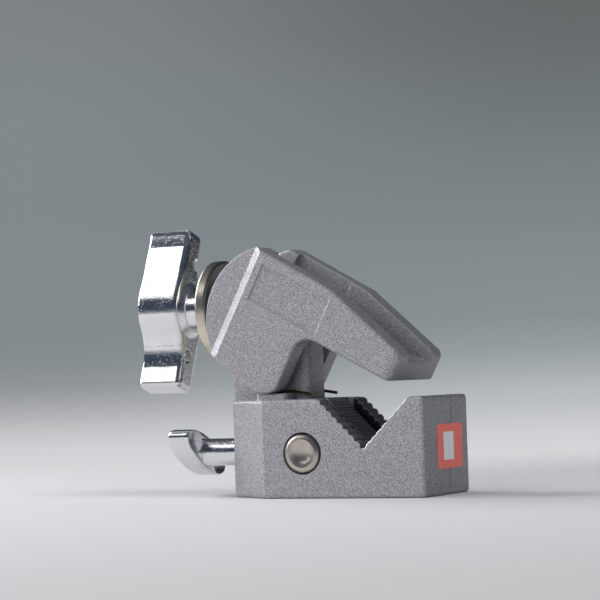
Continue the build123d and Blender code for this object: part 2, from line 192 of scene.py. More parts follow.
class Graph:
    """Node tree of a material or of the world."""

    def __init__(self, tree: bpy.types.NodeTree) -> None:
        """Take over an empty tree."""
        self.tree = tree
        tree.nodes.clear()

    def add(self, kind: str, settings: dict | None = None, inputs: dict | None = None) -> bpy.types.Node:
        """Add one node.

        Args:
            kind: Node type.
            settings: Attributes that are set first.
            inputs: Values or links of its sockets, by name or number.

        Returns:
            The node.
        """
        node = self.tree.nodes.new(kind)
        for key, value in (settings or {}).items():
            setattr(node, key, value)
        for key, value in (inputs or {}).items():
            self.feed(node.inputs[key], value)
        return node

    def feed(self, socket: bpy.types.NodeSocket, value: object) -> None:
        """Link a socket, or set its value.

        Args:
            socket: The input.
            value: A Value or socket to link, or a number or colour to set.
        """
        if isinstance(value, Value):
            self.tree.links.new(value.socket, socket)
        elif isinstance(value, bpy.types.NodeSocket):
            self.tree.links.new(value, socket)
        elif socket.type == "RGBA" and len(value) == 3:
            socket.default_value = (*value, 1.0)
        else:
            socket.default_value = value

    def ramp(self, factor: Value, stops: Ramp) -> bpy.types.NodeSocket:
        """Colour from a ramp.

        Args:
            factor: Place on the ramp.
            stops: Places from 0 to 1, each with its display red, green and blue.

        Returns:
            The colour.
        """
        node = self.add("ShaderNodeValToRGB", None, {"Fac": factor})
        elements = node.color_ramp.elements
        while len(elements) < len(stops):
            elements.new(0.5)
        for element, (place, *shade) in zip(elements, stops):
            element.position = place
            element.color = (*tone(*shade), 1.0)
        return node.outputs["Color"]

    def place(self) -> bpy.types.NodeSocket:
        """Object coordinates, in metres."""
        return self.add("ShaderNodeTexCoord").outputs["Object"]

    def moved(self, turn: Triple = (0, 0, 0), scale: Triple = (1, 1, 1)) -> bpy.types.NodeSocket:
        """Object coordinates through a Mapping node.

        Args:
            turn: Rotation in radians.
            scale: Factors along the axes.

        Returns:
            The vector.
        """
        node = self.add("ShaderNodeMapping", None, {"Vector": self.place(), "Rotation": turn, "Scale": scale})
        return node.outputs["Vector"]

    def axes(self, vector: bpy.types.NodeSocket) -> tuple[Value, Value, Value]:
        """Split a vector into its three numbers."""
        node = self.add("ShaderNodeSeparateXYZ", None, {"Vector": vector})
        return tuple(Value(self, socket) for socket in node.outputs)

    def noise(self, vector: bpy.types.NodeSocket, kind: Noise) -> Value:
        """Cloudy noise.

        Args:
            vector: Coordinates in metres.
            kind: Its size and layers.

        Returns:
            A value round 0.5.
        """
        node = self.add("ShaderNodeTexNoise", None, {"Vector": vector, "Scale": 1.0 / (kind.size * MM),
                                                     "Detail": kind.detail, "Roughness": kind.rough})
        return Value(self, node.outputs[0])

    def cells(self, vector: bpy.types.NodeSocket, size: float, output: str = "Distance") -> Value:
        """Cells round scattered points.

        Args:
            vector: Coordinates in metres.
            size: Width of one cell, in millimetres.
            output: Socket to take, Distance or Color.

        Returns:
            The distance to the nearest point, or a random value for each cell.
        """
        node = self.add("ShaderNodeTexVoronoi", None, {"Vector": vector, "Scale": 1.0 / (size * MM)})
        return Value(self, node.outputs[output])

    def mix(self, factor: Value | float, first: object, second: object) -> Value:
        """Blend two colours.

        Args:
            factor: 0 gives the first colour, 1 the second.
            first: Colour or socket.
            second: Colour or socket.

        Returns:
            The colour.
        """
        node = self.add("ShaderNodeMix", {"data_type": "RGBA"},
                        {"Factor": factor, MIX_COLOUR_A: first, MIX_COLOUR_B: second})
        return Value(self, node.outputs[MIX_RESULT])

    def bump(self, height: Value, depth: float, under: bpy.types.NodeSocket | None = None,
             strength: float = 1.0) -> bpy.types.NodeSocket:
        """Normal from a height.

        Args:
            height: Height, in units of depth.
            depth: Real height of 1, in millimetres.
            under: Normal of a coarser relief below this one.
            strength: Share of the effect.

        Returns:
            The normal.
        """
        inputs = {"Height": height, "Distance": depth * MM, "Strength": strength}
        if under is not None:
            inputs["Normal"] = under
        return self.add("ShaderNodeBump", None, inputs).outputs["Normal"]

    def softened(self, radius: float) -> bpy.types.NodeSocket:
        """Normal that turns smoothly across the edges, over a radius in millimetres."""
        return self.add("ShaderNodeBevel", {"samples": BEVEL_SAMPLES}, {"Radius": radius * MM}).outputs["Normal"]

    def surface(self, **inputs: object) -> None:
        """Join a principled shader to the material's output.

        Args:
            **inputs: Its sockets, with underscores for spaces.
        """
        named = {key.replace("_", " "): value for key, value in inputs.items()}
        shader = self.add("ShaderNodeBsdfPrincipled", None, named)
        self.add("ShaderNodeOutputMaterial", None, {"Surface": shader.outputs["BSDF"]})


# Finishes -----------------------------


@dataclass(frozen=True)
class Tint:
    """Part of a finish that is darker or lighter: range of a noise where it comes in, its cover and its factor."""

    where: Range
    cover: float
    factor: float


@dataclass(frozen=True)
class Finish:
    """A finish of the clamp, which each kind paints in its own way."""

    name: str
    colour: Colour

    def tinted(self, graph: Graph, under: object, noise: Value, tint: Tint) -> Value:
        """Lay a tint over a colour.

        Args:
            graph: The material's nodes.
            under: The colour so far.
            noise: Value that the tint follows.
            tint: The tint.

        Returns:
            The new colour.
        """
        return graph.mix(noise.step(*tint.where) * tint.cover, under, shaded(self.colour, tint.factor))

    def material(self) -> bpy.types.Material:
        """Make the finish's material.

        Returns:
            A new material.
        """
        made = bpy.data.materials.new(self.name)
        made.use_nodes = True
        self.paint(Graph(made.node_tree))
        return made

    def paint(self, graph: Graph) -> None:
        """Fill the material's nodes; each kind of finish has its own."""
        raise NotImplementedError


@dataclass(frozen=True)
class CastCoat(Finish):
    """Silver coat on sand-fine cast aluminium: a pebbled grain with painted glints and dark pits.

    Lengths are in millimetres. A range is where a mask goes from 0 to 1, and a band adds where it falls back.
    """

    grain: Noise = Noise(0.31, 1.0)
    coarse_grain: Noise = Noise(0.806)
    fine_share: float = 0.86
    grain_turn: Triple = (0.55, 0.35, 0.8)
    grain_depth: float = 0.085
    lit_crowns: Tint = Tint((0.52, 0.66), 0.85, 1.85)
    shaded_hollows: Tint = Tint((0.49, 0.34), 0.85, 0.3)
    cloud: Noise = Noise(9.0, 3.0)
    clouds: Tint = Tint((0.35, 0.75), 0.12, 0.85)
    pit_spacing: float = 4.2
    pit_edge: Range = (0.085, 0.045)
    pit_choice: Range = (0.80, 0.82)
    pit_depth: float = 0.6
    pit_cover: float = 0.85
    pit_colour: Colour = tone(45, 46, 50)
    metallic: float = 0.4
    roughness: float = 0.5
    roughness_swing: float = 0.4
    edge_radius: float = 0.7
    edge_match: Range = (0.97, 0.86)
    edge_cover: float = 0.45
    edge_glints: float = 0.4
    edge_highlight_colour: Colour = tone(214, 213, 218)
    slope_highlight_match: Range = (0.998, 0.95)
    slope_highlight_colour: Colour = tone(253, 253, 254)
    slope_highlight_offset: float = 18.6
    slope_highlight_width: Band = ((-1.6, -1.2), (1.6, 2.2))
    slope_highlight_face: Range = (-19.0, -19.4)
    slope_highlight_height: Band = ((14.0, 16.0), (34.4, 35.0))
    slope_highlight_fade: Range = (20.0, 30.0)
    slope_highlight_fade_share: float = 0.5
    groove_x: Band = ((15.6, 16.6), (52.0, 52.6))
    groove_z: Band = ((12.5, 13.5), (34.2, 34.9))
    groove_side: Range = (19.2, 19.4)
    slot_side: Band = ((6.6, 6.9), (12.0, 12.3))
    row_side: Range = (12.0, 12.3)
    groove_shade: float = 0.7
    slot_shade: float = 0.27
    row_lighter: float = 0.16
    groove_shade_colour: Colour = tone(19, 22, 25)
    seam_face: Range = (57.2, 57.5)
    seam_side: float = 1.4
    seam_lean: float = 0.11
    seam_width: Range = (0.34, 0.12)
    seam_cover: float = 0.8
    seam_height: float = 2.0

    def paint(self, graph: Graph) -> None:
        """Paint the grain: pebbles of noise with a painted highlight on their tops and painted shade in their hollows,
        on softened edges.

        Args:
            graph: The material's nodes.
        """
        place = graph.place()
        turned = graph.moved(turn=self.grain_turn)
        pebbles = graph.noise(turned, self.grain)
        relief = pebbles * self.fine_share + graph.noise(turned, self.coarse_grain) * (1 - self.fine_share)
        # Painted highlight on the grain's crowns and painted shade in its hollows, from the same relief as the bump.
        body = self.tinted(graph, self.colour, relief, self.lit_crowns)
        body = self.tinted(graph, body, relief, self.shaded_hollows)
        body = self.tinted(graph, body, graph.noise(place, self.cloud), self.clouds)
        pits = graph.cells(place, self.pit_spacing).step(*self.pit_edge)
        pits = pits * graph.cells(place, self.pit_spacing, "Color").step(*self.pit_choice)
        body = graph.mix(pits * self.pit_cover, body, self.pit_colour)
        # Painted shade in the V groove, darkest in its two slots.
        body = graph.mix(self.groove(graph), body, self.groove_shade_colour)
        seam = self.seam(graph)
        body = graph.mix(seam * self.seam_cover, body, shaded(self.colour, self.shaded_hollows.factor))
        soft = graph.softened(self.edge_radius)
        match = self.match(graph, soft)
        # Painted highlight along the edges, where the softened normal leaves the true one, with painted glints on the
        # grain's crowns.
        glints = relief.step(*self.lit_crowns.where) * self.edge_glints
        lightened = match.step(*self.edge_match) * (glints + self.edge_cover)
        body = graph.mix(lightened, body, self.edge_highlight_colour)
        # Painted highlight line on the front face, along the groove's right slope.
        body = graph.mix(match.step(*self.slope_highlight_match) * self.slope_highlight(graph), body, self.slope_highlight_colour)
        rough = self.roughness + (0.5 - pebbles) * self.roughness_swing
        normal = graph.bump(relief - pits * self.pit_depth + seam * self.seam_height, self.grain_depth, soft)
        graph.surface(Base_Color=body, Metallic=self.metallic, Roughness=rough, Normal=normal)

    def match(self, graph: Graph, soft: bpy.types.NodeSocket) -> Value:
        """How well the softened normal keeps to the true one, which it leaves only at the edges.

        Args:
            graph: The material's nodes.
            soft: Normal that turns smoothly across the edges.

        Returns:
            Cosine of the angle between both normals.
        """
        true = graph.add("ShaderNodeNewGeometry").outputs["True Normal"]
        match = graph.add("ShaderNodeVectorMath", {"operation": "DOT_PRODUCT"}, {0: soft, 1: true})
        return Value(graph, match.outputs["Value"])

    def slope_highlight(self, graph: Graph) -> Value:
        """Mask of the painted highlight on the front face, along the edge of the groove's right slope.

        Args:
            graph: The material's nodes.

        Returns:
            A mask from 0 to 1.
        """
        across, side, up = graph.axes(graph.place())
        beside = across - up - self.slope_highlight_offset * MM
        near = beside.band(self.slope_highlight_width) * side.reach(self.slope_highlight_face) * up.band(self.slope_highlight_height)
        return near * (1 - up.reach(self.slope_highlight_fade) * self.slope_highlight_fade_share)

    def groove(self, graph: Graph) -> Value:
        """Mask of the painted shade in the V groove, deep in its two slots and light on the outer rows of teeth.

        Args:
            graph: The material's nodes.

        Returns:
            A mask from 0 to 1.
        """
        across, side, up = graph.axes(graph.place())
        side = abs(side)
        inside = across.band(self.groove_x) * up.band(self.groove_z) * (1 - side.reach(self.groove_side))
        slots, rows = side.band(self.slot_side), side.reach(self.row_side)
        return inside * (self.groove_shade + slots * self.slot_shade - rows * self.row_lighter)

    def seam(self, graph: Graph) -> Value:
        """Mask of the mould's parting line, which leans across the right end face.

        Args:
            graph: The material's nodes.

        Returns:
            A mask from 0 to 1.
        """
        across, side, up = graph.axes(graph.place())
        away = abs(side - (self.seam_side * MM + up * self.seam_lean))
        return across.reach(self.seam_face) * away.reach(self.seam_width)


@dataclass(frozen=True)
class Polish(Finish):
    """Plated metal with a soft wave, faint haze and a few specks in the plating.

    The wave is in millimetres, and the depths of swell and peel are shares of it.
    """

    roughness: float = 0.10
    wave: float = 0.05
    swell: Noise = Noise(9.0, 1.0, 0.4)
    swell_depth: float = 2.0
    peel: Noise = Noise(0.9, 2.0, 0.6)
    peel_depth: float = 0.6
    fine: Noise = Noise(0.42, 1.0)
    fine_share: float = 0.9
    haze: Noise = Noise(3.0, 3.0, 0.6)
    haze_tint: Tint = Tint((0.4, 0.8), 0.18, 0.86)
    haze_blur: Range = (0.3, 0.8)
    haze_roughness: float = 0.07
    dust: Noise = Noise(0.5, 1.0)
    specks: Range = (0.62, 0.74)
    speck: float = 0.5
    speck_depth: float = 1.2
    speck_roughness: float = 0.25
    edge_radius: float = 0.5

    def paint(self, graph: Graph) -> None:
        """Paint the plating.

        Args:
            graph: The material's nodes.
        """
        place = graph.place()
        haze = graph.noise(place, self.haze)
        dust = graph.noise(place, self.dust).step(*self.specks) * self.speck
        body = self.tinted(graph, self.colour, haze, self.haze_tint)
        rough = self.roughness + haze.step(*self.haze_blur) * self.haze_roughness + dust * self.speck_roughness
        normal = graph.bump(graph.noise(place, self.swell), self.wave * self.swell_depth, self.form(graph))
        peel = graph.noise(place, self.peel) + graph.noise(place, self.fine) * self.fine_share
        normal = graph.bump(peel - dust * self.speck_depth, self.wave * self.peel_depth, normal)
        graph.surface(Base_Color=body, Metallic=1.0, Roughness=rough, Normal=normal)

    def form(self, graph: Graph) -> bpy.types.NodeSocket:
        """Normal of the polished form below the wave: its edges softened by the buffing wheel."""
        return graph.softened(self.edge_radius)


@dataclass(frozen=True)
class Buffed(Polish):
    """Polish of the wing handle: slanted ends, and a lean and a hollow in the lower half of its long faces.

    Places are in millimetres above the bolt's axis for the upper end, and below it for the rest. The back face
    has them the other way up, so both faces look alike after half a turn.
    """

    centre_z: float = 68.5
    end_from: float = 24.2
    low_end_from: float = 26.2
    end_slope: float = 0.31
    lean_from: float = 13.0
    lean: float = 0.07
    hollow_from: float = 20.2
    hollow: float = 0.02
    front_or_back: Range = (0.2, -0.2)
    long_faces: Range = (0.2, 0.6)

    def form(self, graph: Graph) -> bpy.types.NodeSocket:
        """Add the slants and the lean below, drops in step with the way along them, and the hollow, a squared rise.

        Args:
            graph: The material's nodes.

        Returns:
            The normal.
        """
        _, _, up = graph.axes(graph.place())
        _, facing, _ = graph.axes(graph.add("ShaderNodeTexCoord").outputs["Normal"])
        rise = (up / MM - self.centre_z) * (facing.step(*self.front_or_back) * 2 - 1)
        slant = (rise - self.end_from).most(0.0) + (-self.low_end_from - rise).most(0.0)
        below = (-self.hollow_from - rise).most(0.0).least(self.low_end_from - self.hollow_from)
        lean = (-self.lean_from - rise).most(0.0).least(self.hollow_from - self.lean_from)
        form = below * below * self.hollow - slant * self.end_slope - lean * self.lean
        return graph.bump(form * abs(facing).step(*self.long_faces), 1.0, super().form(graph))


@dataclass(frozen=True)
class Turned(Finish):
    """Plated steel turned on a lathe: fine rings about an axis along X, rubbed lighter in streaks.

    Lengths are in millimetres. Above the axis it has a painted dark reflection of the dim room, in fine specks, and
    below it a painted reflection of the warm floor.
    """

    centre_z: float = 68.5
    ring_pitch: float = 0.55
    ring_height: float = 0.2
    relief_depth: float = 0.02
    roughness: float = 0.3
    brush: Noise = Noise(0.34, 2.0, 0.6)
    brush_stretch: Triple = (0.22, 1.0, 1.0)
    brush_roughness: float = 0.3
    streaks: Tint = Tint((0.45, 0.75), 0.25, 0.7)
    cloud: Noise = Noise(4.0, 3.0, 0.6)
    clouds: Range = (0.35, 0.7)
    cloud_cover: float = 0.5
    cloud_warmth: Colour = (0.92, 0.86, 0.76)
    cloud_roughness: float = 0.08
    dark_reflection_noise: Noise = Noise(0.3, 2.0, 0.6)
    dark_reflection_specks: Tint = Tint((0.4, 0.62), 0.75, 0.22)
    dark_reflection_height: Range = (66.0, 77.0)
    floor_reflection_height: Range = (66.0, 60.0)
    floor_reflection_cover: float = 0.7
    floor_reflection_colour: Colour = tone(236, 222, 202)

    def paint(self, graph: Graph) -> None:
        """Paint the rings, a sine of the distance to the axis, and streaks along the rim.

        Args:
            graph: The material's nodes.
        """
        place = graph.place()
        _, side, up = graph.axes(place)
        above = up - self.centre_z * MM
        radius = (side * side + above * above) ** 0.5
        rings = (radius * (FULL_TURN / (self.ring_pitch * MM))).wave() * 0.5 + 0.5
        brush = graph.noise(graph.moved(scale=self.brush_stretch), self.brush)
        cloud = graph.noise(place, self.cloud)
        warm = tuple(part * share for part, share in zip(self.colour, self.cloud_warmth))
        body = graph.mix(cloud.step(*self.clouds) * self.cloud_cover, self.colour, warm)
        body = self.tinted(graph, body, brush, self.streaks)
        # Painted dark reflection of the dim room, in fine specks above the axis.
        dark_reflected = self.tinted(graph, body, graph.noise(place, self.dark_reflection_noise), self.dark_reflection_specks)
        body = graph.mix(up.reach(self.dark_reflection_height), body, dark_reflected)
        # Painted reflection of the warm floor, below the axis.
        body = graph.mix(up.reach(self.floor_reflection_height) * self.floor_reflection_cover, body, self.floor_reflection_colour)
        rough = self.roughness + (brush - 0.5) * self.brush_roughness + cloud * self.cloud_roughness
        normal = graph.bump(rings * self.ring_height + brush, self.relief_depth)
        graph.surface(Base_Color=body, Metallic=1.0, Roughness=rough, Normal=normal)


@dataclass(frozen=True)
class Satin(Finish):
    """Blasted and plated metal with an even, soft sheen."""

    roughness: float = 0.32
    grain: Noise = Noise(0.22, 2.0, 0.6)
    grain_depth: float = 0.012
    grain_roughness: float = 0.15
    cloud: Noise = Noise(3.2)
    clouds: Tint = Tint((0.3, 0.8), 0.4, 0.82)
    cloud_roughness: float = 0.08

    def paint(self, graph: Graph) -> None:
        """Paint the sheen with a very fine grain.

        Args:
            graph: The material's nodes.
        """
        place = graph.place()
        grain, cloud = graph.noise(place, self.grain), graph.noise(place, self.cloud)
        body = self.tinted(graph, self.colour, cloud, self.clouds)
        rough = self.roughness + (grain - 0.5) * self.grain_roughness + cloud * self.cloud_roughness
        graph.surface(Base_Color=body, Metallic=1.0, Roughness=rough, Normal=graph.bump(grain, self.grain_depth))


@dataclass(frozen=True)
class Dished(Satin):
    """Satin of the push button: a rounded shoulder round a shallow dimple, about an axis along Y.

    Lengths are in millimetres.
    """

    centre_x: float = 10.5
    centre_z: float = 15.9
    ring: float = 3.5
    rim: float = 7.1
    fall: float = 1.0
    dimple: float = 0.26
    cloud: Noise = Noise(2.4, 3.0, 0.6)
    clouds: Tint = Tint((0.35, 0.8), 0.25, 0.55)
    cloud_roughness: float = 0.1
    shaded_rim: Range = (6.3, 7.2)
    rim_cover: float = 0.35

    def paint(self, graph: Graph) -> None:
        """Paint the satin over a form whose height falls from the ring both outwards and inwards.

        Args:
            graph: The material's nodes.
        """
        place = graph.place()
        across, _, up = graph.axes(place)
        level, rise = across / MM - self.centre_x, up / MM - self.centre_z
        radius = (level * level + rise * rise) ** 0.5
        outer = ((radius - self.ring) / (self.rim - self.ring)).most(0.0)
        inner = (1 - (radius / self.ring) * (radius / self.ring)).most(0.0)
        form = graph.bump(outer * outer * -self.fall - inner * self.dimple, 1.0)
        cloud = graph.noise(place, self.cloud)
        # Painted shade round the outer rim, where the recess round the button shades it, plus random darker clouds.
        rim_shade_and_clouds = radius.step(*self.shaded_rim) * self.rim_cover + cloud.step(*self.clouds.where) * self.clouds.cover
        body = graph.mix(rim_shade_and_clouds, self.colour, shaded(self.colour, self.clouds.factor))
        rough = self.roughness + (cloud - 0.5) * self.cloud_roughness
        normal = graph.bump(graph.noise(place, self.grain), self.grain_depth, form)
        graph.surface(Base_Color=body, Metallic=1.0, Roughness=rough, Normal=normal)


@dataclass(frozen=True)
class Wire(Finish):
    """Drawn wire, darkened and oiled, with a lighter rubbed skin in places."""

    metallic: float = 1.0
    roughness: float = 0.34
    roughness_swing: float = 0.2
    wear: Noise = Noise(1.3, 3.0, 0.6)
    lightened: Tint = Tint((0.52, 0.72), 1.0, 1.6)
    skin: Noise = Noise(0.3, 2.0, 0.6)
    skin_depth: float = 0.01

    def paint(self, graph: Graph) -> None:
        """Paint the wire's skin.

        Args:
            graph: The material's nodes.
        """
        place = graph.place()
        wear = graph.noise(place, self.wear)
        body = self.tinted(graph, self.colour, wear, self.lightened)
        rough = self.roughness + (0.5 - wear) * self.roughness_swing
        normal = graph.bump(graph.noise(place, self.skin), self.skin_depth)
        graph.surface(Base_Color=body, Metallic=self.metallic, Roughness=rough, Normal=normal)


@dataclass(frozen=True)
class Sticker(Finish):
    """Red printed film with a bare white panel, on the face square to X. Places are in millimetres."""

    panel: Colour = tone(240, 240, 240)
    panel_y: Range = (-3.0, 5.7)
    panel_z: Range = (12.3, 22.1)
    edge: float = 0.12
    fibre: Noise = Noise(0.5, 3.0, 0.6)
    fibres: Tint = Tint((0.3, 0.8), 0.5, 0.82)
    fibre_roughness: float = 0.12
    ripple: Noise = Noise(2.5)
    ripple_depth: float = 0.05
    ripple_share: float = 0.6
    roughness: float = 0.42
    coat: float = 0.25
    coat_roughness: float = 0.2

    def paint(self, graph: Graph) -> None:
        """Paint the print: a rectangle from two smooth steps each way, over red film.

        Args:
            graph: The material's nodes.
        """
        place = graph.place()
        _, side, up = graph.axes(place)
        inside = self.between(side, self.panel_y) * self.between(up, self.panel_z)
        fibre = graph.noise(place, self.fibre)
        red = self.tinted(graph, self.colour, fibre, self.fibres)
        normal = graph.bump(graph.noise(place, self.ripple), self.ripple_depth, strength=self.ripple_share)
        graph.surface(Base_Color=graph.mix(inside, red, self.panel), Normal=normal,
                      Roughness=self.roughness + fibre * self.fibre_roughness,
                      Coat_Weight=self.coat, Coat_Roughness=self.coat_roughness)

    def between(self, along: Value, limits: Range) -> Value:
        """Mask that is 1 between two limits.

        Args:
            along: Coordinate in metres.
            limits: Low and high limit.

        Returns:
            The mask.
        """
        low, high = limits
        return along.band(((low - self.edge, low + self.edge), (high - self.edge, high + self.edge)))


class Slot(Enum):
    """Material slots of the record, with the finish that each takes."""

    CAST_COAT = CastCoat("cast_coat", tone(158, 156, 161))
    POLISHED_CHROME = Polish("polished_chrome", tone(231, 231, 232), roughness=0.14, wave=0.06)
    BRIGHT_STEEL = Polish("bright_steel", tone(205, 206, 208), roughness=0.2, wave=0.01)
    BLACK_STEEL = Wire("black_steel", tone(38, 38, 40), metallic=0.9, roughness=0.4)
    SPRING_STEEL = Wire("spring_steel", tone(112, 112, 116))
    NICKEL = Turned("nickel", tone(196, 190, 180))
    SATIN_NICKEL = Satin("satin_nickel", tone(200, 192, 182))
    BRASS = Satin("brass", tone(190, 158, 92), roughness=0.36)
    BRONZED_WIRE = Wire("bronzed_wire", tone(98, 82, 58))
    LABEL = Sticker("label", tone(255, 116, 99))


# Meshes -------------------------------


def lattice_faces(rows: int, columns: int) -> np.ndarray:
    """Quads of a grid whose columns close into a ring.

    Args:
        rows: Number of rings.
        columns: Points in each ring.

    Returns:
        Four point numbers for each quad: (r, c), (r, c+1), (r+1, c+1), (r+1, c).
    """
    row, column = np.meshgrid(np.arange(rows - 1), np.arange(columns), indexing="ij")
    after = (column + 1) % columns
    quads = np.stack([row * columns + column, row * columns + after,
                      (row + 1) * columns + after, (row + 1) * columns + column], axis=-1)
    return quads.reshape(-1, 4)


def tube_object(name: str, rings: np.ndarray, finish: Finish) -> bpy.types.Object:
    """Closed tube through rings of points, with a fan of triangles at each end.

    Args:
        name: Name of the piece.
        rings: Points in metres, shaped (rings, points, 3).
        finish: Finish of the piece.

    Returns:
        The new object, with its place in its mesh.
    """
    count, columns = rings.shape[:2]
    poles = np.stack([rings[0].mean(axis=0), rings[-1].mean(axis=0)])
    points = np.concatenate([rings.reshape(-1, 3), poles])
    around = np.arange(columns)
    after = (around + 1) % columns
    first, last = count * columns, count * columns + 1
    start_fan = np.stack([np.full(columns, first), after, around], axis=-1)
    end = (count - 1) * columns
    end_fan = np.stack([np.full(columns, last), end + around, end + after], axis=-1)
    faces = lattice_faces(count, columns).tolist() + start_fan.tolist() + end_fan.tolist()
    mesh = bpy.data.meshes.new(name)
    mesh.from_pydata(points.tolist(), [], faces)
    mesh.update()
    mesh.shade_smooth()
    mesh.set_sharp_from_angle(angle=math.radians(SHARP_ANGLE))
    mesh.materials.append(finish.material())
    made = bpy.data.objects.new(name, mesh)
    bpy.context.collection.objects.link(made)
    return made


@dataclass
class ThreadedRod:
    """Screw along X with a cut thread on part of its length, in millimetres, in the place of a plain solid."""

    node: str
    thread: Range
    chamfer: float
    finish: Finish
    grooves: tuple[tuple[float, float, float], ...] = ()
    bore: tuple[float, float] | None = None
    start_chamfer: float = 0.3
    pitch: float = 1.5
    depth: float = 0.72
    flank: float = 2.5
    crest: float = 0.15
    columns: int = 64
    steps_per_pitch: int = 12
    plain_steps: int = 6
    wall: float = 0.004

    def stations(self, start: float, end: float) -> np.ndarray:
        """Places along X, close together in the thread and doubled at each groove's walls.

        Args:
            start: Left end of the screw.
            end: Its right end.

        Returns:
            The places in order.
        """
        low, high = self.thread
        count = int(round((high - low) / self.pitch * self.steps_per_pitch)) + 1
        walls = [edge + side * self.wall for groove in self.grooves for edge in groove[:2] for side in (-1, 1)]
        ends = [start, start + self.start_chamfer, end - self.chamfer, end]
        plain = np.linspace(start + self.start_chamfer, low, self.plain_steps)
        return np.unique(np.concatenate([np.linspace(low, high, count), walls, ends, plain]).round(4))

    def build(self) -> bpy.types.Object:
        """Make the screw.

        The radius is the rod's radius, less the thread's depth times a triangle wave of
        (x / pitch - angle / full turn) with its tops cut flat, faded in over one pitch at both
        ends of the thread. A groove has its own radius, and a chamfer limits the radius to a
        slope of 45 degrees. A bore adds two rings that lead back inside.

        Returns:
            The screw as one closed mesh.
        """
        corner, far_corner = (np.array(place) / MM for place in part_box(self.node))
        start, end = corner[0], far_corner[0]
        outer, centre_z = (far_corner[2] - corner[2]) / 2, (far_corner[2] + corner[2]) / 2
        along = self.stations(start, end)[:, None]
        angle = np.linspace(0, FULL_TURN, self.columns, endpoint=False)[None, :]
        phase = (along / self.pitch - angle / FULL_TURN) % 1.0
        valley = np.clip(np.abs(phase - 0.5) * self.flank - self.crest, 0, 1)
        low, high = self.thread
        fade = np.clip((along - low) / self.pitch, 0, 1) * np.clip((high - along) / self.pitch, 0, 1)
        radius = outer - self.depth * valley * fade
        for groove_low, groove_high, groove_radius in self.grooves:
            radius = np.where((along > groove_low) & (along < groove_high), groove_radius, radius)
        radius = np.minimum(radius, outer - self.chamfer + np.clip(end - along, 0, None))
        radius = np.minimum(radius, outer - self.start_chamfer + np.clip(along - start, 0, None))
        if self.bore:
            bore_radius, bore_depth = self.bore
            along = np.concatenate([along, [[end], [end - bore_depth]]])
            radius = np.concatenate([radius, np.full((2, self.columns), bore_radius)])
        rings = np.stack(np.broadcast_arrays(along, radius * np.cos(angle),
                                             centre_z + radius * np.sin(angle)), axis=-1)
        return tube_object(f"threaded_{self.node}", rings * MM, self.finish)


@dataclass
class PressedSpring:
    """Compression spring along Y, in millimetres, wound to be even when it is pressed and so wider in its middle."""

    node: str
    travel: float
    finish: Finish
    wire: float = 0.8
    coils: int = 5
    steps_per_coil: int = 40
    columns: int = 12

    def ends(self) -> tuple[np.ndarray, np.ndarray]:
        """Middles of the wire's first and last turn on the spring's axis.

        Returns:
            The end with the lower Y and the end with the higher one.
        """
        low, high = (np.array(corner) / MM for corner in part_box(self.node))
        middle = (low + high) / 2
        first = np.array([middle[0], low[1] + self.wire / 2, middle[2]])
        last = np.array([middle[0], high[1] - self.wire / 2, middle[2]])
        return first, last

    def build(self) -> bpy.types.Object:
        """Make the coil.

        At share t of the length L the coil has turned coils times (L t - travel (3 t^2 - 2 t^3)) / (L - travel),
        which is what a blend that moves each point by travel (3 t^2 - 2 t^3) makes even. The wire is a ring of
        points round that path.

        Returns:
            The spring as one closed tube.
        """
        low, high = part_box(self.node)
        first, last = self.ends()
        radius = (high.x - low.x) / 2 / MM - self.wire / 2
        length = last[1] - first[1]
        share = np.linspace(0, 1, self.coils * self.steps_per_coil + 1)[:, None]
        pressed = length * share - self.travel * share ** 2 * (3 - 2 * share)
        turn = FULL_TURN * self.coils * pressed / (length - self.travel)
        outwards = np.concatenate([np.cos(turn), np.zeros_like(turn), np.sin(turn)], axis=1)
        path = first + share * (last - first) + radius * outwards
        sideways = np.cross(np.gradient(path, axis=0), outwards)
        sideways /= np.linalg.norm(sideways, axis=1, keepdims=True)
        around = np.linspace(0, FULL_TURN, self.columns, endpoint=False)[None, :, None]
        rings = path[:, None, :] + self.wire / 2 * (np.cos(around) * outwards[:, None, :]
                                                    + np.sin(around) * sideways[:, None, :])
        return tube_object(f"pressed_{self.node}", rings * MM, self.finish)


# Sub-assemblies -----------------------


@dataclass
class Group:
    """Pieces of the clamp that ride on one body, with the slots of those that keep their solid's form."""

    body: str
    slots: dict[str, Slot]

    def build(self) -> None:
        """Dress each node that keeps its form."""
        for node, slot in self.slots.items():
            self.dress(node, slot, slot.value)

    def dress(self, node: str, slot: Slot, finish: Finish) -> None:
        """Give a node of the frame its finish.

        Args:
            node: Name of the node.
            slot: Slot of the record that the finish is for.
            finish: The slot's own finish, or one that also follows this node's form.
        """
        material = finish.material()
        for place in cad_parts[node].material_slots:
            place.material = material
        LOG.info("%s: %s", node, slot.name.lower())

    def add(self, piece: bpy.types.Object, slot: Slot, replaced: str) -> None:
        """Put a new piece on the body.

        Args:
            piece: The new object.
            slot: Not used.
            replaced: Node that it stands for.
        """
        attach(piece, self.body)
        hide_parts(replaced)
        LOG.info("%s rides on %s", piece.name, self.body)


